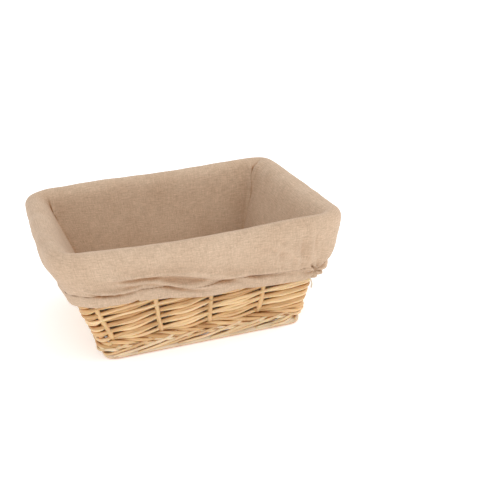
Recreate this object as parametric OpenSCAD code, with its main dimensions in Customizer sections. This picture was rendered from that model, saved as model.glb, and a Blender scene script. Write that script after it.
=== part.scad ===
// Rectangular wicker bread basket with a lift-out cloth liner.
// Origin: middle of the footprint, on the surface the basket stands on. +X along the length,
// -Y is the front, +Z up. All sizes in millimetres.

/* [Overall] */
// Length over the lined rim
rim_l = 240; // [220:1:280]
// Width over the lined rim
rim_w = 190; // [175:1:230]
// Height to the top of the lined rim
height = 97; // [97:1:110]
// Length over the foot rod
foot_l = 162; // [150:1:180]
// Width over the foot rod
foot_w = 150; // [140:1:170]

/* [Wicker] */
// Diameter of a weaving rod
rod_d = 2.7; // [2.4:0.1:2.7]
// Diameter of an upright stake
stake_d = 4.2; // [3.6:0.1:4.4]
// Diameter of the rods of the wales
wale_d = 3.2; // [2.8:0.1:3.2]
// Diameter of the rods of the rim border
border_d = 4.2; // [3.6:0.1:4.2]
// Diameter of the foot rod
foot_d = 5.6; // [5:0.1:5.8]
// Number of weaving rows, each a pair of rods
rows = 12; // [8:1:12]
// Height from one weaving row to the next
row_pitch = 5.6; // [5.5:0.1:5.6]
// Radius of the bends at the corners
corner_r = 6.5; // [6:0.5:8]

/* [Liner] */
// Thickness of the doubled cloth
cloth_t = 1.6; // [1:0.1:1.6]
// Height of the lower edge of the cuff above the ground
hem_z = 47; // [40:1:60]
// Height of the elastic's casing along the cuff's lower edge
hem_h = 9.5; // [8:0.5:12]

/* [Hidden] */
row_names = [for (k = [0:rows - 1]) str("weave_row_", k < 9 ? "0" : "", k + 1)];
sides = ["front", "back", "left", "right"];
$fn = 48;

wicker = [0.87, 0.73, 0.56];
pale_wicker = [0.92, 0.85, 0.76];
cloth = [0.81, 0.71, 0.62];
cloth_shade = [0.72, 0.61, 0.51];
thread = [0.88, 0.80, 0.71];
elastic = [0.93, 0.91, 0.88];

gap = 0.05;                 // between pieces that touch
clear = 0.4;                // between the liner and the wicker
foot_flat = 0.3;            // how much of the foot rod is worn flat underneath
foot_top = foot_d - foot_flat;
feet_d = 2.8;
feet_room = 3.4;            // between the foot rod and the lower wale
stake_off = (wale_d + stake_d) / 2 + 0.35;  // stakes stand off the weave by this much
wall_half = stake_off + stake_d / 2;        // half the thickness of the wicker wall
liner_off = wall_half + clear + 0.55;       // outside of the liner's walls, from the weave
rim_in = 9.9;               // from the rim's outline in to the weave
foot_in = 5.5;              // from the foot's outline in to the weave

wale_z = [foot_top + feet_room + wale_d / 2, foot_top + feet_room + 1.5 * wale_d + gap];
row_z0 = wale_z[1] + wale_d / 2 + rod_d + 0.15;
rim_wale_z = row_z0 + (rows - 1) * row_pitch + rod_d + wale_d / 2 + 0.1;
border_z = rim_wale_z + wale_d / 2 + border_d / 2 + 0.15;
border_top_z = border_z + 0.87 * border_d;
border_off = border_d / 2 + gap;
fold_z = border_top_z + border_d / 2 + 0.3;
base_stick_d = 4;
base_z = foot_top + 0.5 + rod_d + base_stick_d / 2;
base_top = base_z + base_stick_d / 2 + gap + rod_d;
floor_z = base_top + clear;
stake_z = [wale_z[0] - wale_d / 2 + 0.9, border_z - border_d / 2 - 1.2];
tail_d = 1.6;

// Half length and half width of the middle of the wicker wall at a height.
function mid_x(z) = foot_l / 2 - foot_in + (rim_l - foot_l + 2 * (foot_in - rim_in)) / 2 * z / height;
function mid_y(z) = foot_w / 2 - foot_in + (rim_w - foot_w + 2 * (foot_in - rim_in)) / 2 * z / height;

// A round rod from a to b.
module rod(a, b, d) {
    v = b - a;
    translate(a)
        rotate([0, acos(v.z / norm(v)), atan2(v.y, v.x)])
            cylinder(h = norm(v), d = d);
}

// A rod bent round the basket: four straight lengths and four corner bends.
module ring_rod(hx, hy, r, z, d) {
    for (s = [-1, 1]) {
        rod([-(hx - r) + gap, s * hy, z], [hx - r - gap, s * hy, z], d);
        rod([s * hx, -(hy - r) + gap, z], [s * hx, hy - r - gap, z], d);
    }
    for (q = [0:3])
        translate([(q == 0 || q == 3 ? 1 : -1) * (hx - r), (q < 2 ? 1 : -1) * (hy - r), z])
            rotate([0, 0, 90 * q])
                rotate_extrude(angle = 90)
                    translate([r, 0])
                        circle(d = d);
}

// A ring rod that follows the wall, off millimetres out from its middle.
module wall_ring(z, off, d) {
    ring_rod(mid_x(z) + off, mid_y(z) + off, corner_r + off, z, d);
}

module foot_rod() {
    inset = foot_d / 2;
    color(pale_wicker)
        difference() {
            ring_rod(foot_l / 2 - inset, foot_w / 2 - inset, corner_r + 2, inset - foot_flat, foot_d);
            translate([0, 0, -10])
                cube([2 * foot_l, 2 * foot_w, 20], center = true);
        }
}

// Point on a side at height z: f is the place along the side, -1 to 1, off is the distance out.
function side_point(side, f, off, z) =
    side == "front" ? [f * (mid_x(z) - corner_r), -mid_y(z) - off, z] :
    side == "back" ? [f * (mid_x(z) - corner_r), mid_y(z) + off, z] :
    side == "left" ? [-mid_x(z) - off, f * (mid_y(z) - corner_r), z] :
    [mid_x(z) + off, f * (mid_y(z) - corner_r), z];

// Places along a side of the stakes outside the weave, and of those inside it, midway between.
function along(side) = side == "front" || side == "back" ? 0.52 : 0.62;
function shift(side) = side == "front" ? 0.075 : 0;
function outer_places(side) = [for (k = [side == "front" ? -2 : -1:1]) shift(side) + k * along(side)];
function inner_places(side) = [for (k = [-1.5:1.5]) shift(side) + k * along(side)];

module stakes(side) {
    color(wicker) {
        for (f = outer_places(side))
            rod(side_point(side, f, stake_off, stake_z[0]),
                side_point(side, f, stake_off, stake_z[1]), stake_d);
        for (f = inner_places(side))
            rod(side_point(side, f, -stake_off, stake_z[0]),
                side_point(side, f, -stake_off, stake_z[1]), stake_d);
    }
}

// Point on the diagonal of a corner bend.
function corner_point(sx, sy, off, z) =
    let (in = corner_r - (corner_r + off) * cos(45))
    [sx * (mid_x(z) - in), sy * (mid_y(z) - in), z];

// The corner stakes stand inside the weave, which bends round them.
module corner_stakes() {
    color(wicker)
        for (sx = [-1, 1], sy = [-1, 1])
            rod(corner_point(sx, sy, -stake_off, stake_z[0]),
                corner_point(sx, sy, -stake_off, stake_z[1]), stake_d);
}

// The stakes' lower ends, laid slanting over the foot rod and under the wale.
module stake_feet() {
    z = foot_top + feet_room / 2;
    slant = [0.11, 3.2];
    color(pale_wicker)
        for (side = sides, f = concat(outer_places(side), inner_places(side)))
            rod(side_point(side, f - slant[0], slant[1], z), side_point(side, f + slant[0], -slant[1], z), feet_d);
}

module base_sticks() {
    reach = mid_x(base_z) - wall_half - 0.5;
    pitch = 19;
    color(wicker)
        for (k = [-3:3])
            rod([-reach, k * pitch, base_z], [reach, k * pitch, base_z], base_stick_d);
}

// Floor weavers lying across the base sticks: up is 1 for those above and -1 for those below.
module base_weavers(up) {
    pitch = 5.6;
    z = base_z + up * (base_stick_d + rod_d + 2 * gap) / 2;
    reach = mid_y(z) - wall_half - 0.5;
    color(wicker)
        for (k = [-12:12])
            rod([k * pitch - up * pitch / 4, -reach, z], [k * pitch - up * pitch / 4, reach, z], rod_d);
}

module wale(z) {
    color(pale_wicker)
        wall_ring(z, 0, wale_d);
}

module weave_row(k) {
    z = row_z0 + k * row_pitch;
    color(wicker)
        for (s = [-1, 1])
            wall_ring(z + s * (rod_d / 2 + gap / 2), 0, rod_d);
}

module border(z, off) {
    color(wicker)
        ring_rod(mid_x(border_z) + off, mid_y(border_z) + off, corner_r + off, z, border_d);
}

// Straight solid along one side with mitred ends. section lists [off, z] points, counterclockwise.
module side_piece(side, section) {
    n = len(section);
    along_x = side == "front" || side == "back";
    hx = [for (p = section) mid_x(p[1]) + p[0]];
    hy = [for (p = section) mid_y(p[1]) + p[0]];
    far = side == "back" || side == "right" ? 1 : -1;
    points = [for (e = [-1, 1], i = [0:n - 1])
        along_x ? [e * hx[i], far * hy[i], section[i][1]] : [far * hx[i], e * hy[i], section[i][1]]];
    faces = concat([for (i = [0:n - 1]) [i, (i + 1) % n, n + (i + 1) % n, n + i]],
        [[for (i = [n - 1:-1:0]) i], [for (i = [0:n - 1]) n + i]]);
    turned = side == "back" || side == "left";
    polyhedron(points = points,
        faces = turned ? [for (f = faces) [for (i = [len(f) - 1:-1:0]) f[i]]] : faces);
}

module liner_floor() {
    r = 4;
    hx = mid_x(floor_z) - liner_off;
    hy = mid_y(floor_z) - liner_off;
    color(cloth)
        translate([0, 0, floor_z])
            linear_extrude(cloth_t)
                union() {
                    square([2 * (hx - r), 2 * hy], center = true);
                    square([2 * hx, 2 * (hy - r)], center = true);
                    for (sx = [-1, 1], sy = [-1, 1])
                        translate([sx * (hx - r), sy * (hy - r)])
                            circle(r = r);
                }
}

module liner_wall(side) {
    lo = floor_z + cloth_t + 0.1;
    hi = fold_z - gap;
    a = -liner_off;
    b = -liner_off - cloth_t;
    color(cloth)
        side_piece(side, [[b, lo], [a, lo], [a, hi], [b, hi]]);
}

module liner_corner_seams() {
    d = 1.2;
    off = -liner_off - cloth_t - 0.1 - d / 2;
    lo = floor_z + cloth_t + 1;
    hi = fold_z - 1;
    color(thread)
        for (sx = [-1, 1], sy = [-1, 1])
            rod([sx * (mid_x(lo) + off), sy * (mid_y(lo) + off), lo],
                [sx * (mid_x(hi) + off), sy * (mid_y(hi) + off), hi], d);
}

// The cloth turned over the rim, rounded on both edges.
module rim_fold(side) {
    ease = 1.2;
    a = -liner_off - cloth_t;
    b = rim_l / 2 - mid_x(height - ease);
    color(cloth)
        side_piece(side, [[a, fold_z], [b, fold_z], [b, height - ease], [b - ease, height],
            [a + ease, height], [a, height - ease]]);
}

cuff_in = wall_half + clear;                  // inside of the cuff at the hem, from the weave
cuff_out = rim_l / 2 - mid_x(height) + 0.6;   // outside of the cuff under the fold

module cuff(side) {
    lo = hem_z + hem_h + gap;
    hi = fold_z - gap;
    color(cloth)
        side_piece(side, [[cuff_in, lo], [cuff_in + cloth_t, lo], [cuff_out, hi], [cuff_out - cloth_t, hi]]);
}

// The turned-up hem: a channel open at the top, that the elastic runs in.
module hem_casing() {
    ply = cloth_t / 2;
    room = 1.5;
    a = cuff_in;
    b = cuff_in + 2 * ply + room;
    hi = hem_z + hem_h;
    color(cloth_shade)
        for (side = sides)
            side_piece(side, [[a, hem_z], [b, hem_z], [b, hi], [b - ply, hi],
                [b - ply, hem_z + ply], [a + ply, hem_z + ply], [a + ply, hi], [a, hi]]);
}

module elastic_band() {
    off = cuff_in + cloth_t / 2 + 0.25;
    lo = hem_z + cloth_t / 2 + 0.6;
    color(elastic)
        for (side = sides)
            side_piece(side, [[off, lo], [off + 1, lo], [off + 1, lo + 6], [off, lo + 6]]);
}

// The line of stitches that closes the casing, just outside the cuff.
module hem_stitching() {
    z = hem_z + hem_h + 0.6;
    d = 0.8;
    h = cuff_in + cloth_t + 0.3 + d / 2;
    color(thread)
        ring_rod(mid_x(z) + h, mid_y(z) + h, 1.2, z, d);
}

// The elastic's end, that hangs out of the casing at the front right corner.
module elastic_tail() {
    off = cuff_in + cloth_t + 1.5 + 0.4 + tail_d / 2;
    top = [mid_x(hem_z) + cuff_in - 3, -mid_y(hem_z + 6) - off - 0.2, hem_z + 6];
    color(elastic)
        rod(top - [1, 0, 14], top, tail_d);
}

foot_rod();
stake_feet();
base_sticks();
base_weavers(1);  // base_weave_upper
base_weavers(-1);  // base_weave_lower
wale(wale_z[0]);  // wale_lower
wale(wale_z[1]);  // wale_upper
for (k = [0:rows - 1])
    weave_row(k);
corner_stakes();
wale(rim_wale_z);  // rim_wale
border(border_z, border_off);  // border_outer
border(border_z, -border_off);  // border_inner
border(border_top_z, 0);  // border_top
liner_floor();
liner_corner_seams();
for (side = sides) {
    stakes(side);
    liner_wall(side);
    rim_fold(side);
    cuff(side);
}
hem_casing();
elastic_band();
hem_stitching();
elastic_tail();
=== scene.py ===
"""Looks for the wicker bread basket: willow weave, cloth liner, light and camera.

Lengths in the geometry code are millimetres, in the frame's axes, and MM turns them into metres.
"""
import math
import random

import bpy
import numpy as np
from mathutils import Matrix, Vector


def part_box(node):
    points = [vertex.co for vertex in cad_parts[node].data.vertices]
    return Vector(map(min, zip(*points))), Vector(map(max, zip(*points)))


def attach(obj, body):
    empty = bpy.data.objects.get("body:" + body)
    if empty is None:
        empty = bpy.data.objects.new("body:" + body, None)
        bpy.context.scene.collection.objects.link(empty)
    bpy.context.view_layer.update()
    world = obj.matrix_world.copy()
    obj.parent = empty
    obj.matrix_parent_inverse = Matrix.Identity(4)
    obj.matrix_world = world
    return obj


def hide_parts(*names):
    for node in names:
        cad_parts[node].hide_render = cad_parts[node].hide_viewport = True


MM = 0.001
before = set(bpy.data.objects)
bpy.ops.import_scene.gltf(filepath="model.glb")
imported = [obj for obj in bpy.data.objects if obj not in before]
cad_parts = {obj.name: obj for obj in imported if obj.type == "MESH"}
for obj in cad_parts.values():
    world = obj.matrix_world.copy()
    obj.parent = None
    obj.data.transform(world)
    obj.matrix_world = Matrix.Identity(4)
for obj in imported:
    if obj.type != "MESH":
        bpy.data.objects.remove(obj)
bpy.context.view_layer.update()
rng = random.Random(11)

# ---------------------------------------------------------------- sizes, from the frame
high = [1000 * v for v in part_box("rim_fold_right")[1]]
HALF_L = high[0]                                   # half length over the rim
HEIGHT = high[2]
HALF_W = 1000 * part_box("rim_fold_back")[1][1]
FOOT_X, FOOT_Y, _ = [1000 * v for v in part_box("foot_rod")[1]]
FOOT_R = 2.8                                       # half thickness of the foot rod
BEND_R = 6.5                                       # corner bends of the weave
RIM_IN = 9.9                                       # from the rim's outline in to the weave
FOOT_IN = 5.5                                      # from the foot's outline in to the weave
ROD_R = 1.35
STAKE_R = 2.0
STRAIGHT_Z = 30.0                                  # height at which distances round the wall are taken
LEVELS = 255                                       # steps of a display colour


def node_mid_z(name):
    """Height of the middle of a CAD node, in millimetres."""
    lo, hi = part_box(name)
    return 500 * (lo[2] + hi[2])


WALE_Z = [node_mid_z("wale_lower"), node_mid_z("wale_upper")]
ROW_Z = [node_mid_z(f"weave_row_{k:02d}") for k in range(1, 13)]
RIM_WALE_Z = node_mid_z("rim_wale")
BORDER_Z = node_mid_z("border_inner")
FLOOR_TOP = 1000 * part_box("liner_floor")[0][2]
STICK_Z = node_mid_z("base_sticks")


def mid_x(z):
    """Half length of the middle of the wicker wall at height z."""
    return FOOT_X - FOOT_IN + (HALF_L - RIM_IN - FOOT_X + FOOT_IN) * z / HEIGHT


def mid_y(z):
    """Half width of the middle of the wicker wall at height z."""
    return FOOT_Y - FOOT_IN + (HALF_W - RIM_IN - FOOT_Y + FOOT_IN) * z / HEIGHT


# ---------------------------------------------------------------- places round the wall
class Ring:
    """Places round a rounded rectangle: straight sides and bends, each with its normal."""

    def __init__(self, n_long=90, n_short=76, n_bend=9):
        c, n = [], []
        sides = [((0, -1), (1, 0), n_long), ((1, 0), (0, 1), n_short),
                 ((0, 1), (-1, 0), n_long), ((-1, 0), (0, -1), n_short)]
        for i, (out, run, count) in enumerate(sides):
            for f in np.linspace(-1, 1, count, endpoint=False):
                c.append((out[0] + run[0] * f, out[1] + run[1] * f))
                n.append(out)
            for a in np.linspace(0, math.pi / 2, n_bend, endpoint=False):
                c.append((out[0] + run[0], out[1] + run[1]))
                n.append((out[0] * math.cos(a) + run[0] * math.sin(a),
                          out[1] * math.cos(a) + run[1] * math.sin(a)))
        self.c = np.array(c, float)
        self.n = np.array(n, float)
        flat = self.at(STRAIGHT_Z, 0.0)[:, :2]
        step = np.linalg.norm(np.roll(flat, -1, 0) - flat, axis=1)
        self.s = np.concatenate([[0], np.cumsum(step)[:-1]])
        self.total = step.sum()

    def at(self, z, off, r=BEND_R):
        """The places at height z, moved out by off, with corner bends of radius r."""
        z = np.broadcast_to(np.asarray(z, float), len(self.c))
        off = np.broadcast_to(np.asarray(off, float), len(self.c))
        r = np.broadcast_to(np.asarray(r, float), len(self.c))
        x = self.c[:, 0] * (mid_x(z) - r) + self.n[:, 0] * (r + off)
        y = self.c[:, 1] * (mid_y(z) - r) + self.n[:, 1] * (r + off)
        return np.stack([x, y, z], 1)


ring = Ring()


class RingAt(Ring):
    """The wall's places at chosen distances round it."""

    def __init__(self, s):
        self.c = np.stack([np.interp(s, ring.s, ring.c[:, i], period=ring.total) for i in (0, 1)], 1)
        self.n = np.stack([np.interp(s, ring.s, ring.n[:, i], period=ring.total) for i in (0, 1)], 1)
        self.n /= np.linalg.norm(self.n, axis=1)[:, None]
        self.s = s
        self.total = ring.total


SIDE_FRAME = {"front": ((0, -1), (1, 0)), "right": ((1, 0), (0, 1)),
              "back": ((0, 1), (-1, 0)), "left": ((-1, 0), (0, -1))}


def place(side, f):
    """Centre and normal on a side, f from -1 to 1 along +X or +Y."""
    out, run = SIDE_FRAME[side]
    g = f if side in ("front", "right") else -f
    return (out[0] + run[0] * g, out[1] + run[1] * g), out


def wall_point(c, n, z, off, r=BEND_R):
    """One place of the wall at height z, moved out by off."""
    return np.array([c[0] * (mid_x(z) - r) + n[0] * (r + off),
                     c[1] * (mid_y(z) - r) + n[1] * (r + off), z])


def station(c, n):
    """Distance round the wall of a place."""
    p = wall_point(c, n, STRAIGHT_Z, 0.0)[:2]
    flat = ring.at(STRAIGHT_Z, 0.0)[:, :2]
    return ring.s[np.argmin(np.linalg.norm(flat - p, axis=1))]


# Stakes outside the weave and inside it, as the frame has them: places along each side, from -1 to 1.
OUTER = {"front": [-0.965, -0.445, 0.075, 0.595], "back": [-0.52, 0, 0.52],
         "left": [-0.62, 0, 0.62], "right": [-0.62, 0, 0.62]}
INNER = {"front": [-0.705, -0.185, 0.335, 0.855], "back": [-0.78, -0.26, 0.26, 0.78],
         "left": [-0.93, -0.31, 0.31, 0.93], "right": [-0.93, -0.31, 0.31, 0.93]}
SLANT = 0.7071       # each part of a unit normal at 45 degrees
CORNERS = [((a, b), (a * SLANT, b * SLANT)) for a, b in ((1, -1), (1, 1), (-1, 1), (-1, -1))]

stakes = []          # (station, kind, side, centre, normal), kind is out, in or corner
for side in ("front", "right", "back", "left"):
    for kind, places in (("out", OUTER), ("in", INNER)):
        for f in places[side]:
            c, n = place(side, f)
            stakes.append((station(c, n), kind, side, c, n))
for c, n in CORNERS:
    stakes.append((station(c, n), "corner", "corner", c, n))
stakes.sort(key=lambda t: t[0])


def wave(s, value):
    """Smooth curve round the wall through value(kind, i) at each stake i."""
    pos = np.array([t[0] for t in stakes])
    val = np.array([value(t[1], i) for i, t in enumerate(stakes)], float)
    pos = np.concatenate([[pos[-1] - ring.total], pos, [pos[0] + ring.total]])
    val = np.concatenate([[val[-1]], val, [val[0]]])
    s = np.mod(s - pos[0], ring.total) + pos[0]
    i = np.clip(np.searchsorted(pos, s, side="right") - 1, 0, len(pos) - 2)
    t = (s - pos[i]) / (pos[i + 1] - pos[i])
    t = 0.5 - 0.5 * np.cos(math.pi * t)
    return val[i] * (1 - t) + val[i + 1] * t


def wobble(s, amount, wave_mm, seed):
    """Smooth random wandering along a length s, of about this wavelength."""
    r = random.Random(seed)
    out = np.zeros_like(np.asarray(s, float))
    for k in range(4):
        lam = wave_mm * (0.6 + 0.5 * k)
        phase = r.uniform(0, 6.28)
        out = out + math.sqrt(0.5) * amount * np.sin(2 * math.pi * np.asarray(s) / lam + phase)
    return out * 0.7


def step_up(t):
    """0 to 1 with a soft start and end."""
    t = np.clip(t, 0, 1)
    return t * t * (3 - 2 * t)


CORNER_IN, CORNER_BACK, END_OUT = 4.5, 1.0, 3.2      # how far the basket is out of square


def hand_made(p):
    """The basket isn't quite square: its upper front left corner is drawn in, its lower right end is out."""
    p = np.array(p, float)
    x, y, z = p[..., 0], p[..., 1], p[..., 2]
    drawn = step_up((-x - 40) / 60) * step_up((-y - 30) / 50) * step_up((z - 40) / 32)
    stands = step_up((x - 20) / 55) * step_up((58 - z) / 45)
    p[..., 0] += CORNER_IN * drawn + END_OUT * stands
    p[..., 1] += CORNER_BACK * drawn
    return p


# ---------------------------------------------------------------- meshes
def new_object(name, points, faces, uv, material):
    """A smooth mesh object from points in millimetres, with its grain coordinates."""
    mesh = bpy.data.meshes.new(name)
    mesh.from_pydata((hand_made(points) * MM).tolist(), [], faces)
    layer = mesh.uv_layers.new(name="grain")
    layer.data.foreach_set("uv", uv)
    mesh.polygons.foreach_set("use_smooth", [True] * len(mesh.polygons))
    mesh.materials.append(material)
    mesh.update()
    obj = bpy.data.objects.new(name, mesh)
    bpy.context.scene.collection.objects.link(obj)
    return obj


class Rods:
    """Round rods gathered into one mesh, with grain coordinates and a tone for each rod."""

    def __init__(self):
        self.v, self.f, self.uv, self.tone, self.count = [], [], [], [], 0

    def add(self, pts, radius, ref=(0, 0, 1), sides=10, closed=False, tone=None, flat=1.0):
        pts = np.asarray(pts, float)
        n = len(pts)
        radius = np.broadcast_to(np.asarray(radius, float), n)
        if closed:
            tan = np.roll(pts, -1, 0) - np.roll(pts, 1, 0)
        else:
            tan = np.gradient(pts, axis=0)
        tan /= np.linalg.norm(tan, axis=1)[:, None]
        ref = np.broadcast_to(np.asarray(ref, float), (n, 3))
        a = ref - tan * (ref * tan).sum(1)[:, None]
        a /= np.linalg.norm(a, axis=1)[:, None]
        b = np.cross(tan, a)
        ang = 2 * math.pi * np.arange(sides) / sides
        rings = (pts[:, None, :]
                 + radius[:, None, None] * (np.cos(ang)[None, :, None] * a[:, None, :] * flat
                                            + np.sin(ang)[None, :, None] * b[:, None, :]))
        base = self.count
        self.v.append(rings.reshape(-1, 3))
        step = np.linalg.norm(np.diff(pts, axis=0), axis=1)
        length = np.concatenate([[0], np.cumsum(step)])
        start = rng.uniform(0, 500)
        tone = rng.uniform(0, 1) if tone is None else tone
        last = n if closed else n - 1
        for i in range(last):
            j = (i + 1) % n
            li = length[i] + start
            lj = (length[j] if j else length[-1] + 2) + start
            for k in range(sides):
                m = (k + 1) % sides
                self.f.append((base + i * sides + k, base + i * sides + m,
                               base + j * sides + m, base + j * sides + k))
                self.uv += [(k / sides, li * MM), ((k + 1) / sides, li * MM),
                            ((k + 1) / sides, lj * MM), (k / sides, lj * MM)]
        self.tone.append(np.full(n * sides, tone))
        self.count += n * sides
        if not closed:
            for end, sign in ((0, -1), (n - 1, 1)):
                centre = pts[end] + sign * tan[end] * radius[end] * 0.25
                self.v.append(centre[None, :])
                hub = self.count
                self.count += 1
                self.tone.append(np.full(1, tone))
                for k in range(sides):
                    m = (k + 1) % sides
                    p, q = base + end * sides + k, base + end * sides + m
                    self.f.append((hub, p, q) if sign > 0 else (hub, q, p))
                    self.uv += [(0.5, 0), (k / sides, 0.001), ((k + 1) / sides, 0.001)]

    def make(self, name, material, body, slot, *nodes):
        uv = np.array(self.uv, np.float32).ravel()
        obj = new_object(name, np.concatenate(self.v), self.f, uv, material)
        attribute = obj.data.attributes.new("tone", "FLOAT", "POINT")
        attribute.data.foreach_set("value", np.concatenate(self.tone).astype(np.float32))
        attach(obj, body)
        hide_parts(*nodes)
        return obj


def smooth_path(points, n):
    """Catmull-Rom curve through a few points."""
    p = np.array(points, float)
    p = np.vstack([2 * p[0] - p[1], p, 2 * p[-1] - p[-2]])
    out = []
    spans = len(p) - 3
    for t in np.linspace(0, spans, n):
        i = min(int(t), spans - 1)
        u = t - i
        a, b, c, d = p[i:i + 4]
        out.append(0.5 * (2 * b + (c - a) * u + (2 * a - 5 * b + 4 * c - d) * u ** 2
                          + (3 * b - a - 3 * c + d) * u ** 3))
    return np.array(out)


# ---------------------------------------------------------------- materials
def nodes_of(name):
    """A new material, its node tree and its shader."""
    mat = bpy.data.materials.new(name)
    mat.use_nodes = True
    tree = mat.node_tree
    tree.nodes.clear()
    out = tree.nodes.new("ShaderNodeOutputMaterial")
    bsdf = tree.nodes.new("ShaderNodeBsdfPrincipled")
    tree.links.new(bsdf.outputs[0], out.inputs["Surface"])
    return mat, tree, bsdf


def add(tree, kind, **values):
    """A node of this kind, with inputs or settings by name."""
    node = tree.nodes.new(kind)
    for key, value in values.items():
        if key in node.inputs:
            node.inputs[key].default_value = value
        else:
            setattr(node, key, value)
    return node


def ramp(tree, source, stops):
    """Colour from a value, through (place, colour) stops."""
    node = tree.nodes.new("ShaderNodeValToRGB")
    elements = node.color_ramp.elements
    elements[0].position, elements[0].color = stops[0][0], (*stops[0][1], 1)
    elements[1].position, elements[1].color = stops[-1][0], (*stops[-1][1], 1)
    for pos, colour in stops[1:-1]:
        e = elements.new(pos)
        e.color = (*colour, 1)
    tree.links.new(source, node.inputs[0])
    return node.outputs[0]


def mix(tree, kind, factor, a, b):
    """Two colours mixed; each may be a colour or a socket."""
    node = tree.nodes.new("ShaderNodeMix")
    node.data_type = "RGBA"
    node.blend_type = kind
    if hasattr(factor, "links"):
        tree.links.new(factor, node.inputs[0])
    else:
        node.inputs[0].default_value = factor
    for value, socket in ((a, node.inputs[6]), (b, node.inputs[7])):
        if hasattr(value, "links"):
            tree.links.new(value, socket)
        else:
            socket.default_value = (*value, 1)
    return node.outputs[2]


def srgb(r, g, b):
    """Linear colour from display values 0 to 255."""
    return tuple(((v / LEVELS + 0.055) / 1.055) ** 2.4 for v in (r, g, b))


WHITE = (1, 1, 1)


def painted_hollow_shade(tree, colour, hollow_shade_colour, distance):
    """Painted shade: the colour goes darker and browner where ambient occlusion finds the surface closed in,
    standing in for the shade and bounced light of a narrow place.
    """
    ao = add(tree, "ShaderNodeAmbientOcclusion", samples=6)
    ao.inputs["Distance"].default_value = distance
    middle = tuple(1 - 0.5 * (1 - v) for v in hollow_shade_colour)
    shade_tint = ramp(tree, ao.outputs["AO"], [(0.12, hollow_shade_colour), (0.42, middle), (0.72, WHITE)])
    return mix(tree, "MULTIPLY", 1.0, colour, shade_tint)


def willow(name, dark, middle, light, gloss=0.42):
    """Peeled willow: long grain streaks, a tone for each rod, small marks, a soft shine, and painted shade
    browning its hollows.
    """
    mat, tree, bsdf = nodes_of(name)
    link = tree.links.new
    uv = add(tree, "ShaderNodeUVMap", uv_map="grain")
    scale = add(tree, "ShaderNodeMapping")
    scale.inputs["Scale"].default_value = (7.0, 55.0, 1.0)
    link(uv.outputs[0], scale.inputs["Vector"])
    streak = add(tree, "ShaderNodeTexNoise", Scale=1.0, Detail=5.0, Roughness=0.62)
    link(scale.outputs[0], streak.inputs["Vector"])
    tone = add(tree, "ShaderNodeAttribute", attribute_name="tone")
    base = ramp(tree, tone.outputs["Fac"], [(0.0, dark), (0.45, middle), (1.0, light)])
    grain = ramp(tree, streak.outputs[0],
                 [(0.30, (0.74, 0.68, 0.60)), (0.52, WHITE), (0.75, (1.1, 1.09, 1.05))])
    colour = mix(tree, "MULTIPLY", 0.75, base, grain)
    coord = add(tree, "ShaderNodeTexCoord")
    blotch = add(tree, "ShaderNodeTexNoise", Scale=55.0, Detail=3.0, Roughness=0.5)
    link(coord.outputs["Object"], blotch.inputs["Vector"])
    patch = ramp(tree, blotch.outputs[0],
                 [(0.32, (0.84, 0.76, 0.66)), (0.5, WHITE), (0.72, (1.07, 1.07, 1.06))])
    colour = mix(tree, "MULTIPLY", 0.7, colour, patch)
    spots = add(tree, "ShaderNodeTexVoronoi", Scale=1.0, Randomness=1.0)
    spot_scale = add(tree, "ShaderNodeMapping")
    spot_scale.inputs["Scale"].default_value = (1.3, 24.0, 1.0)
    link(uv.outputs[0], spot_scale.inputs["Vector"])
    link(spot_scale.outputs[0], spots.inputs["Vector"])
    mark = ramp(tree, spots.outputs["Distance"],
                [(0.03, (0.45, 0.28, 0.14)), (0.09, WHITE), (1.0, WHITE)])
    colour = mix(tree, "MULTIPLY", 0.55, colour, mark)
    # painted shade: the colour goes browner and darker where rods close in on each other
    colour = painted_hollow_shade(tree, colour, (0.80, 0.44, 0.16), 0.0035)
    link(colour, bsdf.inputs["Base Color"])
    rough = add(tree, "ShaderNodeMapRange")
    rough.inputs["To Min"].default_value = gloss + 0.14
    rough.inputs["To Max"].default_value = gloss - 0.04
    link(streak.outputs[0], rough.inputs["Value"])
    link(rough.outputs[0], bsdf.inputs["Roughness"])
    bump = add(tree, "ShaderNodeBump", Strength=0.35, Distance=0.0003)
    link(streak.outputs[0], bump.inputs["Height"])
    link(bump.outputs[0], bsdf.inputs["Normal"])
    bsdf.inputs["Specular IOR Level"].default_value = 0.4
    bsdf.inputs["Subsurface Weight"].default_value = 0.3
    bsdf.inputs["Subsurface Scale"].default_value = 1.0
    bsdf.inputs["Subsurface Radius"].default_value = (0.0030, 0.0014, 0.0005)
    return mat


def stretched_noise(tree, source, sx, sy, detail=2.0):
    """Noise drawn out along one axis of the cloth; sx and sy are cells per metre."""
    place_node = add(tree, "ShaderNodeMapping")
    place_node.inputs["Scale"].default_value = (sx, sy, 1)
    tree.links.new(source, place_node.inputs["Vector"])
    noise = add(tree, "ShaderNodeTexNoise", Scale=1.0, Detail=detail, Roughness=0.6)
    tree.links.new(place_node.outputs[0], noise.inputs["Vector"])
    return noise.outputs[0]


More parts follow.
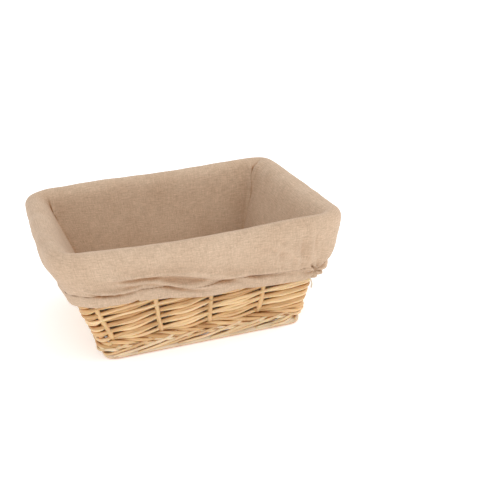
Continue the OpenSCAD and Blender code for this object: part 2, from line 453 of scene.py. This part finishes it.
def woven_cloth(name, colour, shade, thread=0.0005, depth=0.00022):
    """Plain-woven cotton: slubs along both threads, a fine mottle, a soft cloudiness and fuzz, with painted
    shade browning its creases.
    """
    mat, tree, bsdf = nodes_of(name)
    link = tree.links.new
    uv = add(tree, "ShaderNodeUVMap", uv_map="grain").outputs[0]
    fine, long = 0.62 / thread, 0.07 / thread
    weft = stretched_noise(tree, uv, long, fine)
    warp = stretched_noise(tree, uv, fine, long)
    mottle = stretched_noise(tree, uv, 0.4 / thread, 0.5 / thread, 3.0)
    coord = add(tree, "ShaderNodeTexCoord")
    cloud = add(tree, "ShaderNodeTexNoise", Scale=34.0, Detail=5.0, Roughness=0.65)
    link(coord.outputs["Object"], cloud.inputs["Vector"])
    base = ramp(tree, cloud.outputs[0], [(0.3, shade), (0.7, colour)])
    for source, low, high in ((weft, 0.88, 1.10), (warp, 0.91, 1.08), (mottle, 0.90, 1.09)):
        lines = ramp(tree, source, [(0.32, (low, low, low * 0.985)), (0.68, (high, high, high))])
        base = mix(tree, "MULTIPLY", 1.0, base, lines)
    # painted shade: the cloth goes browner and darker in creases and narrow places
    base = painted_hollow_shade(tree, base, (0.78, 0.52, 0.30), 0.008)
    link(base, bsdf.inputs["Base Color"])
    bsdf.inputs["Roughness"].default_value = 0.92
    bsdf.inputs["Sheen Weight"].default_value = 0.1
    bsdf.inputs["Sheen Roughness"].default_value = 0.5
    bsdf.inputs["Specular IOR Level"].default_value = 0.15
    total = add(tree, "ShaderNodeMath", operation="ADD")
    link(weft, total.inputs[0])
    link(warp, total.inputs[1])
    relief = add(tree, "ShaderNodeMath", operation="ADD")
    link(total.outputs[0], relief.inputs[0])
    link(mottle, relief.inputs[1])
    bump = add(tree, "ShaderNodeBump", Strength=0.6, Distance=depth)
    link(relief.outputs[0], bump.inputs["Height"])
    link(bump.outputs[0], bsdf.inputs["Normal"])
    return mat


WICKER = willow("willow", srgb(190, 149, 101), srgb(213, 175, 127), srgb(233, 203, 160))
PALE = willow("pale_willow", srgb(206, 172, 128), srgb(219, 190, 150), srgb(232, 211, 180), 0.38)
FOOT = willow("foot_willow", srgb(200, 176, 144), srgb(208, 188, 159), srgb(218, 200, 175), 0.36)
CLOTH = woven_cloth("cotton", srgb(199, 174, 151), srgb(190, 163, 139))
THREAD = woven_cloth("thread", srgb(192, 171, 151), srgb(180, 158, 137), 0.0003)
ELASTIC = woven_cloth("elastic_braid", srgb(226, 214, 200), srgb(212, 198, 182), 0.0004)

# ---------------------------------------------------------------- the weave
REACH = 0.9          # how far the rods swing in and out of the wall's middle
PUSH = 1.0           # the whole weave stands this far out of the frame's middle
PITCH = ROW_Z[1] - ROW_Z[0]
OUT_S = [t[0] for t in stakes if t[1] == "out"]
LOWEST, HIGHEST = ROW_Z[0] - 0.9, ROW_Z[-1] + 1.2      # where the climbing rods level out
PAIR_LIFT, PAIR_STEP = 0.88, 0.45    # a pair of rods closes up, and steps apart in depth, at an outer stake
TUCK = 1.6                           # how far a rod's ends go in behind the wall
FATTER = 0.16                        # rods look thicker between the stakes, where they press together


def soft_clamp(z, lo, hi, ease):
    """z held between lo and hi, turning smoothly into each."""
    z = lo + ease * np.logaddexp(0, (z - lo) / ease)
    return hi - ease * np.logaddexp(0, (hi - z) / ease)


def weaver(row, start, rods):
    """One rod that starts inside an outer stake and climbs right, as far as the next but one."""
    count = len(OUT_S)
    u = np.linspace(start - 0.1, start + 2.1, 92)
    index = np.arange(-1, 2 * count + 1)
    s = np.interp(u, index, [OUT_S[i % count] + ring.total * (i // count) for i in index])
    places = RingAt(np.mod(s, ring.total))
    squeeze = wave(s, lambda kind, i: {"out": 1.0, "in": 0.0, "corner": 0.3}[kind])
    swing = wave(s, lambda kind, i: {"out": -1.0, "in": 1.0, "corner": 0.9}[kind])
    odd = row % 2
    seed = 1000 + 20 * row + start
    z = ROW_Z[row] + PITCH * (u - start - 1) + odd * PITCH / 2
    z = soft_clamp(z, LOWEST, HIGHEST, 0.8) + (-PAIR_LIFT if odd else PAIR_LIFT) * squeeze
    z = z + wobble(s, 0.26, 80, seed) + wobble(s, 0.08, 23, seed + 400)
    tuck = np.clip((np.abs(u - start - 1) - 0.93) / 0.17, 0, 1)
    off = PUSH + REACH * swing + (PAIR_STEP if odd else -PAIR_STEP) * squeeze
    off = off + wobble(s, 0.25, 55, seed + 800) - TUCK * tuck
    radius = ROD_R * rng.uniform(0.98, 1.12) * np.linspace(1.06, 0.92, len(s))
    radius = radius * (1 + wobble(s, 0.05, 60, seed + 90)) * (1 + FATTER * (1 - squeeze))
    rods.add(places.at(z, off), radius, sides=12)


for row in range(len(ROW_Z)):
    rods = Rods()
    for start in range(len(OUT_S)):
        weaver(row, start, rods)
    node = f"weave_row_{row + 1:02d}"
    rods.make(node + "_willow", WICKER, "basket", "wicker", node)

# Uprights: those outside the weave, those inside it, and the corner ones.
STAKE_OFF = {"out": -1.0, "in": -1.9, "corner": -2.0}
BEHIND, BEHIND_Z, BEHIND_EASE = 2.0, 15.5, 4      # an outer stake passes behind the wales
for side in ("front", "back", "left", "right", "corner"):
    rods = Rods()
    for i, (s, kind, where, c, n) in enumerate(stakes):
        if where != side:
            continue
        z = np.linspace(WALE_Z[0] - 2, BORDER_Z - 1, 60)
        off = STAKE_OFF[kind] + PUSH
        behind = BEHIND * (kind == "out") * (1 - step_up((z - BEHIND_Z) / BEHIND_EASE))
        pts = np.array([wall_point(c, n, zz, off - b) for zz, b in zip(z, behind)])
        run = np.array([-n[1], n[0], 0])
        pts += run * wobble(z, 0.6, 60, 300 + i)[:, None]
        pts += np.array([n[0], n[1], 0]) * wobble(z, 0.25, 25, 400 + i)[:, None]
        radius = STAKE_R * (1 + wobble(z, 0.07, 16, 500 + i)) * np.linspace(1.04, 0.90, len(z))
        rods.add(pts, radius, ref=(n[0], n[1], 0), sides=14, tone=rng.uniform(0.35, 0.70))
    node = "corner_stakes" if side == "corner" else f"stakes_{side}"
    rods.make(node + "_willow", WICKER, "basket", "wicker", node)


# Wales: three rods laid round the wall, each passing before two uprights and behind one.
WALE_STRANDS = 3
WALE_TURNS = 13
WALE_OUT, WALE_SWING = 0.5, 2.2


def wale(name, z0, start, rise, rod_r, node, material, seed):
    """Strands that swing in and out, and up and down by rise, about the height z0."""
    rods = Rods()
    places = RingAt(np.linspace(0, ring.total, 900, endpoint=False))
    around = 2 * math.pi * WALE_TURNS * places.s / ring.total + 0.5 * np.sin(places.s / 31 + seed)
    for strand in range(WALE_STRANDS):
        a = around + 2 * math.pi * strand / WALE_STRANDS + start
        z = z0 - rise * np.sin(a) + wobble(places.s, 0.25, 60, seed + strand)
        off = PUSH + WALE_OUT + WALE_SWING * np.cos(a)
        radius = rod_r * (1 + wobble(places.s, 0.08, 50, seed + 7 + strand))
        rods.add(places.at(z, off), radius, closed=True, sides=12)
    rods.make(name, material, "basket", "pale_wicker", node)


wale("wale_lower_willow", WALE_Z[0] - 0.5, 0.0, 1.5, 1.5, "wale_lower", PALE, 20)
wale("wale_upper_willow", WALE_Z[1] + 0.4, 1.1, 1.4, 1.45, "wale_upper", WICKER, 30)
wale("rim_wale_willow", RIM_WALE_Z, 0.4, 1.3, 1.4, "rim_wale", WICKER, 40)

# Rim border: three strands laid like a rope.
BORDER_TURNS = 33
BORDER_UP, BORDER_OUT, BORDER_LAY, BORDER_ROD_R = 1.6, 0.4, 2.3, 1.55
dense = np.linspace(0, ring.total, 1100, endpoint=False)
fine = RingAt(dense)
for i, node in enumerate(("border_outer", "border_inner", "border_top")):
    a = 2 * math.pi * (BORDER_TURNS * dense / ring.total + i / 3)
    rods = Rods()
    for pair in (-0.35, 0.35):
        z = BORDER_Z + BORDER_UP + BORDER_LAY * np.sin(a + pair)
        off = BORDER_LAY * np.cos(a + pair) + BORDER_OUT
        rods.add(fine.at(z, off), BORDER_ROD_R, closed=True, sides=10)
    rods.make(node + "_willow", WICKER, "basket", "wicker", node)

# Foot rod, and the stakes' ends laid over it.
FOOT_BEND_R, FOOT_POINTS = 8.0, 320
foot = Rods()
foot_places = RingAt(np.linspace(0, ring.total, FOOT_POINTS, endpoint=False))
fx, fy = FOOT_X - FOOT_R, FOOT_Y - FOOT_R
pts = np.stack([foot_places.c[:, 0] * (fx - FOOT_BEND_R) + foot_places.n[:, 0] * FOOT_BEND_R,
                foot_places.c[:, 1] * (fy - FOOT_BEND_R) + foot_places.n[:, 1] * FOOT_BEND_R,
                np.full(FOOT_POINTS, FOOT_R + 0.05)], 1)
foot.add(pts, FOOT_R * (1 + wobble(foot_places.s, 0.012, 90, 3)), closed=True, sides=20, tone=0.85)
foot.make("foot_rod_willow", FOOT, "basket", "pale_wicker", "foot_rod")

# Way of a stake's end: along the wall from the stake, height, out from the wall.
END_ROUTE = [(12, 14.5, 1.0), (-2, 11.0, 3.0), (-18, 8.2, 3.8), (-34, 5.8, 4.0), (-48, 4.0, 3.3)]
END_POINTS = 40
ends = Rods()
for s, *_ in stakes:
    drift = rng.uniform(-6, 6)
    fall = rng.uniform(-1.0, 0.8)
    marks = np.array([s + ds * rng.uniform(0.85, 1.15) + drift * (j > 0)
                      for j, (ds, z, off) in enumerate(END_ROUTE)])
    key = RingAt(np.mod(marks, ring.total)).at([p[1] + fall for p in END_ROUTE],
                                               [p[2] + PUSH for p in END_ROUTE])
    radius = rng.uniform(1.25, 1.55) * np.linspace(1.0, 0.7, END_POINTS)
    ends.add(smooth_path(key, END_POINTS), radius, sides=10, tone=rng.uniform(0, 0.9))
ends.make("stake_feet_willow", PALE, "basket", "pale_wicker", "stake_feet")

# ---------------------------------------------------------------- the woven floor
STICK_PITCH, WEAVER_PITCH = 19.0, 5.6
STICK_R, WEAVER_SWING, END_GAP = 2.0, 2.9, 5
sticks = Rods()
reach = mid_x(STICK_Z) - END_GAP
for k in range(-3, 4):
    x = np.linspace(-reach, reach, 40)
    pts = np.stack([x, k * STICK_PITCH + wobble(x, 0.4, 90, 600 + k), np.full(40, STICK_Z)], 1)
    sticks.add(pts, STICK_R * (1 + wobble(x, 0.04, 50, 620 + k)), sides=12, tone=rng.uniform(0.3, 0.9))
sticks.make("base_sticks_willow", WICKER, "basket", "wicker", "base_sticks")
for name, sign in (("base_weave_upper", 1), ("base_weave_lower", -1)):
    rods = Rods()
    reach = mid_y(STICK_Z) - END_GAP
    for k in range(-12, 13):
        y = np.linspace(-reach, reach, 110)
        z = STICK_Z + sign * (-1) ** k * WEAVER_SWING * np.cos(math.pi * y / STICK_PITCH)
        x = k * WEAVER_PITCH - sign * WEAVER_PITCH / 4 + wobble(y, 0.2, 40, 640 + k)
        rods.add(np.stack([x, y, z], 1), ROD_R * (1 + wobble(y, 0.05, 30, 700 + k)), ref=(1, 0, 0))
    rods.make(name + "_willow", WICKER, "basket", "wicker", name)

# ---------------------------------------------------------------- the cloth liner
class Sheet:
    """A grid of points with cloth coordinates, made into a thick cloth."""

    def __init__(self, grid, uv, closed):
        self.grid, self.uv, self.closed = grid, uv, closed

    def make(self, name, material, slot, thickness, *nodes):
        rows, cols = self.grid.shape[:2]
        faces, loops = [], []
        for i in range(rows - 1):
            for j in range(cols if self.closed else cols - 1):
                m = (j + 1) % cols
                faces.append((i * cols + j, i * cols + m, (i + 1) * cols + m, (i + 1) * cols + j))
                u0, u1 = self.uv[0][j], self.uv[0][j + 1]
                v0, v1 = self.uv[1][i], self.uv[1][i + 1]
                loops += [(u0, v0), (u1, v0), (u1, v1), (u0, v1)]
        uv = np.array(loops, np.float32).ravel() * MM
        obj = new_object(name, self.grid.reshape(-1, 3), faces, uv, material)
        solid = obj.modifiers.new("thick", "SOLIDIFY")
        solid.thickness = thickness * MM
        solid.offset = 0
        apply_modifiers(obj)
        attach(obj, "liner")
        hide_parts(*nodes)
        return obj


def apply_modifiers(obj):
    """Makes what the modifiers give into the object's own mesh."""
    bpy.context.view_layer.update()
    depsgraph = bpy.context.evaluated_depsgraph_get()
    mesh = bpy.data.meshes.new_from_object(obj.evaluated_get(depsgraph))
    obj.modifiers.clear()
    old = obj.data
    obj.data = mesh
    bpy.data.meshes.remove(old)


def soft_noise(p, scale, seed, octaves=3):
    """Smooth noise at points, about -1 to 1, of this grain size in millimetres."""
    r = np.random.RandomState(seed)
    total = np.zeros(p.shape[:-1])
    gain = 1.0
    for _ in range(octaves):
        for _ in range(5):
            d = r.normal(size=3)
            d /= np.linalg.norm(d)
            length = scale * r.uniform(0.7, 1.4)
            total += gain * np.sin(p @ d * 2 * math.pi / length + r.uniform(0, 6.28))
        gain *= 0.5
        scale *= 0.5
    return total / 5


def crease(px, pz, path, width, height):
    """A soft ridge along a path in the plane of a side, with a furrow under it; px, pz are arrays."""
    best = np.full(px.shape, 1e9)
    along = np.zeros(px.shape)
    path = np.array(path, float)
    seg = np.linalg.norm(np.diff(path, axis=0), axis=1)
    start = np.concatenate([[0], np.cumsum(seg)])
    side = np.zeros(px.shape)
    for i in range(len(path) - 1):
        a, b = path[i], path[i + 1]
        d = (b - a) / seg[i]
        t = np.clip((px - a[0]) * d[0] + (pz - a[1]) * d[1], 0, seg[i])
        cx, cz = a[0] + t * d[0], a[1] + t * d[1]
        dist = np.hypot(px - cx, pz - cz)
        near = dist < best
        best = np.where(near, dist, best)
        along = np.where(near, (start[i] + t) / start[-1], along)
        side = np.where(near, (px - cx) * -d[1] + (pz - cz) * d[0], side)
    fade = np.sin(math.pi * np.clip(along, 0.02, 0.98)) ** 0.6
    ridge = np.exp(-(best / width) ** 2)
    beyond = np.maximum(best - 2.5 * width, 0) / width
    furrow = np.exp(-((side + 1.5 * width) / width) ** 2 - beyond ** 2)
    return height * fade * (ridge - 0.55 * furrow)


cloth_ring = Ring(n_long=150, n_short=124, n_bend=26)
S = cloth_ring.s
# How much each place of the cloth belongs to a side, 0 to 1.
ON = {side: np.clip(cloth_ring.n @ np.array(out), 0, 1) ** 2 for side, (out, _) in SIDE_FRAME.items()}

# Profile of the liner from the floor, up the wall, over the rim and down the cuff:
# offset from the wall's middle, height, bend radius.
PROFILE = [(-8.0, 17.2, 3), (-8.0, 19, 3.2), (-7.9, 30, 4), (-7.8, 45, 5), (-7.6, 60, 6),
           (-7.4, 75, 8), (-7.2, 84, 10), (-6.2, 90, 12), (-4.0, 94, 14), (-1.0, 96.3, 16),
           (2.5, 96.6, 17), (6.0, 95.0, 17), (8.8, 91.5, 16.5), (10.2, 86.5, 16), (10.5, 80, 15),
           (10.2, 72, 14.5), (9.4, 64, 14), (8.4, 57.5, 13.5)]
profile = smooth_path(PROFILE, 110)
HEM_BEND_R = 13.5
HEM = [(off, z, HEM_BEND_R) for off, z in
       ((8.4, 57.5), (9.5, 55.0), (9.8, 51.5), (9.2, 48.3), (8.0, 47.2), (7.2, 48.5), (6.9, 53), (7.0, 58))]
hem = smooth_path(HEM, 36)
BAND_OUT, BAND_IN = 10, 30          # rows of the hem in front of the elastic and behind it


HEM_MID, HEM_CLIMB = 0.9, 3.9        # along the front: the middle level, and the climb either side of it
HEM_TURN, HEM_EASE = -20, 22         # where it climbs, and over what length
HEM_LIFT, LIFT_X, LIFT_HALF = 2.4, 27, 14        # one fold picks the hem up right of the middle


def hem_drop(p):
    """How far the hem hangs off level: it climbs towards the front left."""
    front = 0.5 - 0.5 * np.tanh((p[..., 1] + 40) / 30)
    level = HEM_MID - HEM_CLIMB * np.tanh((p[..., 0] - HEM_TURN) / HEM_EASE)
    level = level + HEM_LIFT * np.exp(-((p[..., 0] - LIFT_X) / LIFT_HALF) ** 2)
    other = 1.6 * np.sin(p[..., 0] / 31 + 1) + 1.3 * np.sin(p[..., 1] / 19)
    return front * level + (1 - front) * other


LEAST_BEND_R = 3
BEND = 1 - 0.4 * np.clip(2.4 * (cloth_ring.n.sum(1) - 1), 0, 1)       # tighter at the back right


def loft(prof):
    """The profile carried round the wall, a row of points for each of its own."""
    return np.array([cloth_ring.at(z, off, LEAST_BEND_R + (r - LEAST_BEND_R) * BEND) for off, z, r in prof])


def corner_stations():
    """Distances round the cloth of its four corners."""
    diagonal = np.abs(cloth_ring.n[:, 0] * cloth_ring.n[:, 1])
    n = len(S)
    return [S[i] for i in range(n)
            if diagonal[i] > 0.45 and diagonal[i - 1] <= diagonal[i] > diagonal[(i + 1) % n]]


CORNER_S = corner_stations()


def bowed(start, end, bow, n=9):
    """A line from start to end that bows up by this much in its middle."""
    (x0, z0), (x1, z1) = start, end
    return [(x0 + (x1 - x0) * t, z0 + (z1 - z0) * t + 4 * bow * t * (1 - t)) for t in np.linspace(0, 1, n)]


# Creases on the front of the cuff: start, end, bow, half width, height.
FRONT_CREASES = [((-82, 74), (46, 52), 7, 2.6, 4.6), ((-44, 66), (12, 57), -3, 2.1, 4.0),
                 ((-106, 72), (-50, 60), -6, 1.8, 3.8), ((40, 86), (90, 56), 4, 2.8, 1.8),
                 ((-70, 67), (-30, 67), -1, 2.2, 2.4), ((-14, 60), (84, 57), 2, 1.8, 2.8)]
NOTCH_X = -53         # a small notch in the hem
PINCH = (91, 54)      # where the cuff is gathered to a point, at its right end


def near_corner(shift):
    """Distance round the cloth from the nearest corner, moved along by shift."""
    half = cloth_ring.total / 2
    gaps = np.array([np.mod(S - c - shift + half, cloth_ring.total) - half for c in CORNER_S])
    return np.abs(gaps).min(0)


def side_folds(side, along, z):
    """A few long soft wrinkles on one side of the cuff, lying nearly level."""
    r = random.Random("folds " + side)
    reach = 78 if side == "back" else 58
    total = np.zeros(np.broadcast(along, z).shape)
    for i in range(7):
        a, h = r.uniform(-reach, reach - 30), r.uniform(58, 82)
        long, drop = r.uniform(28, 60), r.uniform(-9, 9)
        path = [(a, h), (a + long / 2, h + drop * 0.7), (a + long, h + drop)]
        total = total + crease(along, z, path, r.uniform(1.8, 3.2), r.uniform(0.5, 1.2))
    return total


def dress(grid, prof):
    """Wrinkles, sag and gathers on the lofted cloth."""
    n = np.concatenate([cloth_ring.n, np.zeros((len(S), 1))], 1)[None]
    z = grid[..., 2]
    outside = np.clip((prof[:, 0] - 2) / 6, 0, 1)[:, None]
    inside = np.clip((-2 - prof[:, 0]) / 4, 0, 1)[:, None]
    low = np.clip((78 - z) / 24, 0, 1) * outside
    top = np.exp(-((z - 95) / 9) ** 2)
    front, back = ON["front"][None], ON["back"][None]
    left, right = ON["left"][None], ON["right"][None]
    x, y = grid[..., 0], grid[..., 1]
    grid = grid.copy()
    grid[..., 2] += low * hem_drop(grid)
    # the rim's cloth dips between the corners, and stands up at the back right
    upper = np.clip((z - 70) / 20, 0, 1)
    sag = front * (np.cos(np.clip((x + 18) / 105, -1, 1) * math.pi / 2) ** 2) * 3.4
    raised = 2.2 + 3.0 * np.clip((x + 20) / 120, 0, 1) ** 2
    sag -= np.clip((y + 20) / 80, 0, 1) * raised * np.clip((x + 110) / 60, 0, 1)
    grid[..., 2] -= sag * upper
    # wandering folds
    soft = soft_noise(grid, 62, 5, 2) * 1.1 + soft_noise(grid, 24, 6, 2) * 0.35
    amount = soft * (0.45 + 0.55 * outside)
    # gathers that run up from the elastic
    coarse = np.sin(2 * math.pi * S / 9.5 + 2 * np.sin(S / 21))
    gather = (coarse + 0.6 * np.sin(2 * math.pi * S / 5.7 + 1.5 * np.sin(S / 13)))[None]
    corner = (1 - np.clip(np.max(np.stack([front[0], back[0], left[0], right[0]]), 0), 0, 1))[None]
    patchy = 0.5 + 0.5 * np.sin(S / 37 + 1.7 * np.sin(S / 53))[None]
    pucker = low ** 1.5 * (0.15 + 0.5 * patchy + 1.2 * corner)
    amount = amount + gather * pucker * 0.6
    # the cuff bellies out at the right and the left, and lies flatter round the front left corner
    front_right = corner * (x > 0) * (y < 0)
    bend_left = np.exp(-(near_corner(0) / 24) ** 2)[None] * (x < 0) * (y < 0)
    belly = 7.0 * front_right + 6.0 * right * np.clip((20 - y) / 60, 0.25, 1)
    amount = amount + outside * np.exp(-((z - 64) / 17) ** 2) * belly
    over_rim = np.clip((prof[:, 0] + 3) / 6, 0, 1)[:, None]
    amount = amount + over_rim * upper * right * 4.2 * np.exp(-((y + 22) / 48) ** 2)
    left_belly = left * 2.2 * np.exp(-((z - 76) / 12) ** 2)
    amount = amount + outside * (left_belly - bend_left * 1.2 * np.exp(-((z - 79) / 13) ** 2))
    # long creases on the front of the cuff, and the pinch at its right end
    f = front ** 4 * outside
    for start, end, bow, width, height in FRONT_CREASES:
        amount = amount + f * crease(x, z, bowed(start, end, bow), width, height)
    for foot, head, height in ((60, 57, 1.6), (76, 74, 2.2), (86, 85, 2.4)):
        amount = amount + f * crease(x, z, [(foot, 56), (head, 72), (head + 1, 88)], 2.4, height)
    dx, dz = x - PINCH[0], z - PINCH[1]
    far = np.hypot(dx, dz)
    spread = np.cos(7 * np.arctan2(dz, dx)) * np.exp(-far / 12) * np.clip(far / 4, 0, 1)
    near_pinch = front + corner * (x > 60) * (y < 0)
    amount = amount + near_pinch * outside * (2.6 * spread - 3.4 * np.exp(-(far / 2.6) ** 2))
    amount = amount + outside * (back ** 4 * side_folds("back", x, z) + left ** 4 * side_folds("left", y, z)
                                 + right ** 4 * side_folds("right", y, z))
    # fold lines standing in the inner corners, plain only at the back right
    plain = 0.25 + 0.75 * (x > 0) * (y > 0)
    for shift, height, width in ((-1.0, 1.2, 1.4), (-4.5, -3.6, 1.7), (6.0, -2.4, 1.5)):
        line = np.exp(-(near_corner(shift) / width) ** 2)[None]
        amount = amount + height * plain * line * inside * np.clip((z - 22) / 12, 0, 1)
    grid[..., :2] += n[..., :2] * amount[..., None]
    grid[..., 2] += top * soft_noise(grid, 45, 9, 2) * 0.6
    # the small notch in the hem
    grid[..., 2] += front * outside * 1.8 * np.exp(-((x - NOTCH_X) / 1.5) ** 2) * np.clip((54 - z) / 4, 0, 1)
    return grid


body = dress(loft(profile), profile)
hem_grid = dress(loft(hem), np.column_stack([np.full(len(hem), 9.0), hem[:, 1], hem[:, 2]]))
hem_grid[0] = body[-1]


def cloth_uv(grid, start=0.0):
    """Distances along the cloth: round its last row, and up one of its columns from start."""
    around = np.linalg.norm(np.roll(grid[-1], -1, 0) - grid[-1], axis=1)
    up = np.linalg.norm(np.diff(grid[:, 20], axis=0), axis=1)
    return np.concatenate([[0], np.cumsum(around)]), start + np.concatenate([[0], np.cumsum(up)])


SIDES = ("front", "back", "left", "right")
wall_uv = cloth_uv(body)
cloth = Sheet(body, wall_uv, True).make(
    "liner_cloth", CLOTH, "cloth", 1.0,
    *[f"{part}_{s}" for part in ("liner_wall", "rim_fold", "cuff") for s in SIDES])
casing = Sheet(hem_grid, cloth_uv(hem_grid, wall_uv[1][-1]), True).make(
    "hem_casing_cloth", CLOTH, "cloth", 0.7, "hem_casing")

# floor panel
FLOOR_IN = 8.0        # from the middle of the wall in to the panel's edge
fx, fy = mid_x(FLOOR_TOP) - FLOOR_IN, mid_y(FLOOR_TOP) - FLOOR_IN
u = np.linspace(-fx, fx, 100)
v = np.linspace(-fy, fy, 90)
gx, gy = np.meshgrid(u, v)
gz = np.full_like(gx, FLOOR_TOP + 1.0)
floor_grid = np.stack([gx, gy, gz], -1)
edge = np.clip(np.minimum(fx - np.abs(gx), fy - np.abs(gy)) / 12, 0, 1)
floor_grid[..., 2] += edge * (0.5 + 0.5 * soft_noise(floor_grid, 50, 31, 2))
floor = Sheet(floor_grid, (u, v), False).make("liner_floor_cloth", CLOTH, "cloth", 1.0, "liner_floor")

# seams in the four inner corners, stitches along the casing, and the elastic
seams = Rods()
for c, n in CORNERS:
    z = np.linspace(19, 84, 50)
    pts = np.array([wall_point(c, n, zz, -8.6, 4.0) for zz in z])
    seams.add(pts, 0.55 + 0.1 * np.sin(z * 2), ref=(n[0], n[1], 0), sides=8)
seams.make("liner_corner_seams_thread", THREAD, "liner", "thread", "liner_corner_seams")

stitches = Rods()
line = hem_grid[1]
outward = cloth_ring.n
STITCH, STITCH_PITCH, STITCH_R = 2.2, 3.2, 0.22
for s in np.arange(0, cloth_ring.total - 3, STITCH_PITCH):
    pts = []
    for t, h in ((s, -0.1), (s + STITCH / 2, 0.55), (s + STITCH, -0.1)):
        p = np.array([np.interp(t, S, line[:, i], period=cloth_ring.total) for i in range(3)])
        nn = np.array([np.interp(t, S, outward[:, i], period=cloth_ring.total) for i in (0, 1)] + [0])
        pts.append(p + nn * (h + 0.3))
    stitches.add(smooth_path(pts, 5), STITCH_R, sides=6)
stitches.make("hem_stitches", THREAD, "liner", "thread", "hem_stitching")

band = Rods()
pts = 0.5 * (hem_grid[BAND_OUT] + hem_grid[BAND_IN])
band.add(pts, 0.5, closed=True, flat=4.2, ref=(0, 0, 1), sides=12, tone=0.8)
band.make("elastic_band_braid", ELASTIC, "liner", "elastic", "elastic_band")

tail = Rods()
top = wall_point((1, -1), (0.3, -0.95), 47, 9.5, 13.5)
hang = [top + step for step in ([0, 0, 3], [0.6, -0.6, -2], [1.4, -0.4, -7], [0.8, 0.2, -11])]
tail.add(smooth_path(hang, 20), 0.7, ref=(1, 0, 0), sides=8, tone=0.9)
tail.make("elastic_tail_cord", ELASTIC, "liner", "elastic", "elastic_tail")

# ---------------------------------------------------------------- camera, floor and light
scene = bpy.context.scene
camera_data = bpy.data.cameras.new("camera")
camera_data.lens = 55.17
camera_data.sensor_width = 36
camera_data.clip_start = 0.01
camera = bpy.data.objects.new("camera", camera_data)
camera.location = (-0.1333, -0.6061, 0.2933)
camera.rotation_euler = [math.radians(a) for a in (68.453, 2.488, -19.138)]
scene.collection.objects.link(camera)
scene.camera = camera

FLOOR_HALF = 9        # metres
mesh = bpy.data.meshes.new("studio_floor")
mesh.from_pydata([(a * FLOOR_HALF, b * FLOOR_HALF, 0) for a, b in ((-1, -1), (1, -1), (1, 1), (-1, 1))],
                 [], [(0, 1, 2, 3)])
ground = bpy.data.objects.new("studio_floor", mesh)
scene.collection.objects.link(ground)
mat, tree, bsdf = nodes_of("paper")
bsdf.inputs["Base Color"].default_value = (0.98, 0.98, 0.98, 1)
bsdf.inputs["Roughness"].default_value = 0.9
bsdf.inputs["Emission Color"].default_value = (1, 1, 1, 1)
bsdf.inputs["Emission Strength"].default_value = 0.3
mesh.materials.append(mat)


def area_light(name, location, aim, size, power, colour=WHITE):
    """A round soft light that faces aim."""
    data = bpy.data.lights.new(name, "AREA")
    data.shape = "DISK"
    data.size = size
    data.energy = power
    data.color = colour
    obj = bpy.data.objects.new(name, data)
    obj.location = location
    direction = np.array(aim, float) - np.array(location, float)
    obj.rotation_euler = Vector(direction).to_track_quat("-Z", "Y").to_euler()
    scene.collection.objects.link(obj)


area_light("key", (1.15, -0.50, 1.15), (0, 0, 0.05), 0.9, 5.9, (1.0, 0.99, 0.97))
area_light("fill", (-1.2, -0.9, 0.42), (0, 0, 0.05), 0.9, 1.2)

world = bpy.data.worlds.new("studio")
scene.world = world
world.use_nodes = True
background = world.node_tree.nodes["Background"]
background.inputs["Color"].default_value = (1, 1, 1, 1)
background.inputs["Strength"].default_value = 1.0
scene.view_settings.view_transform = "Standard"
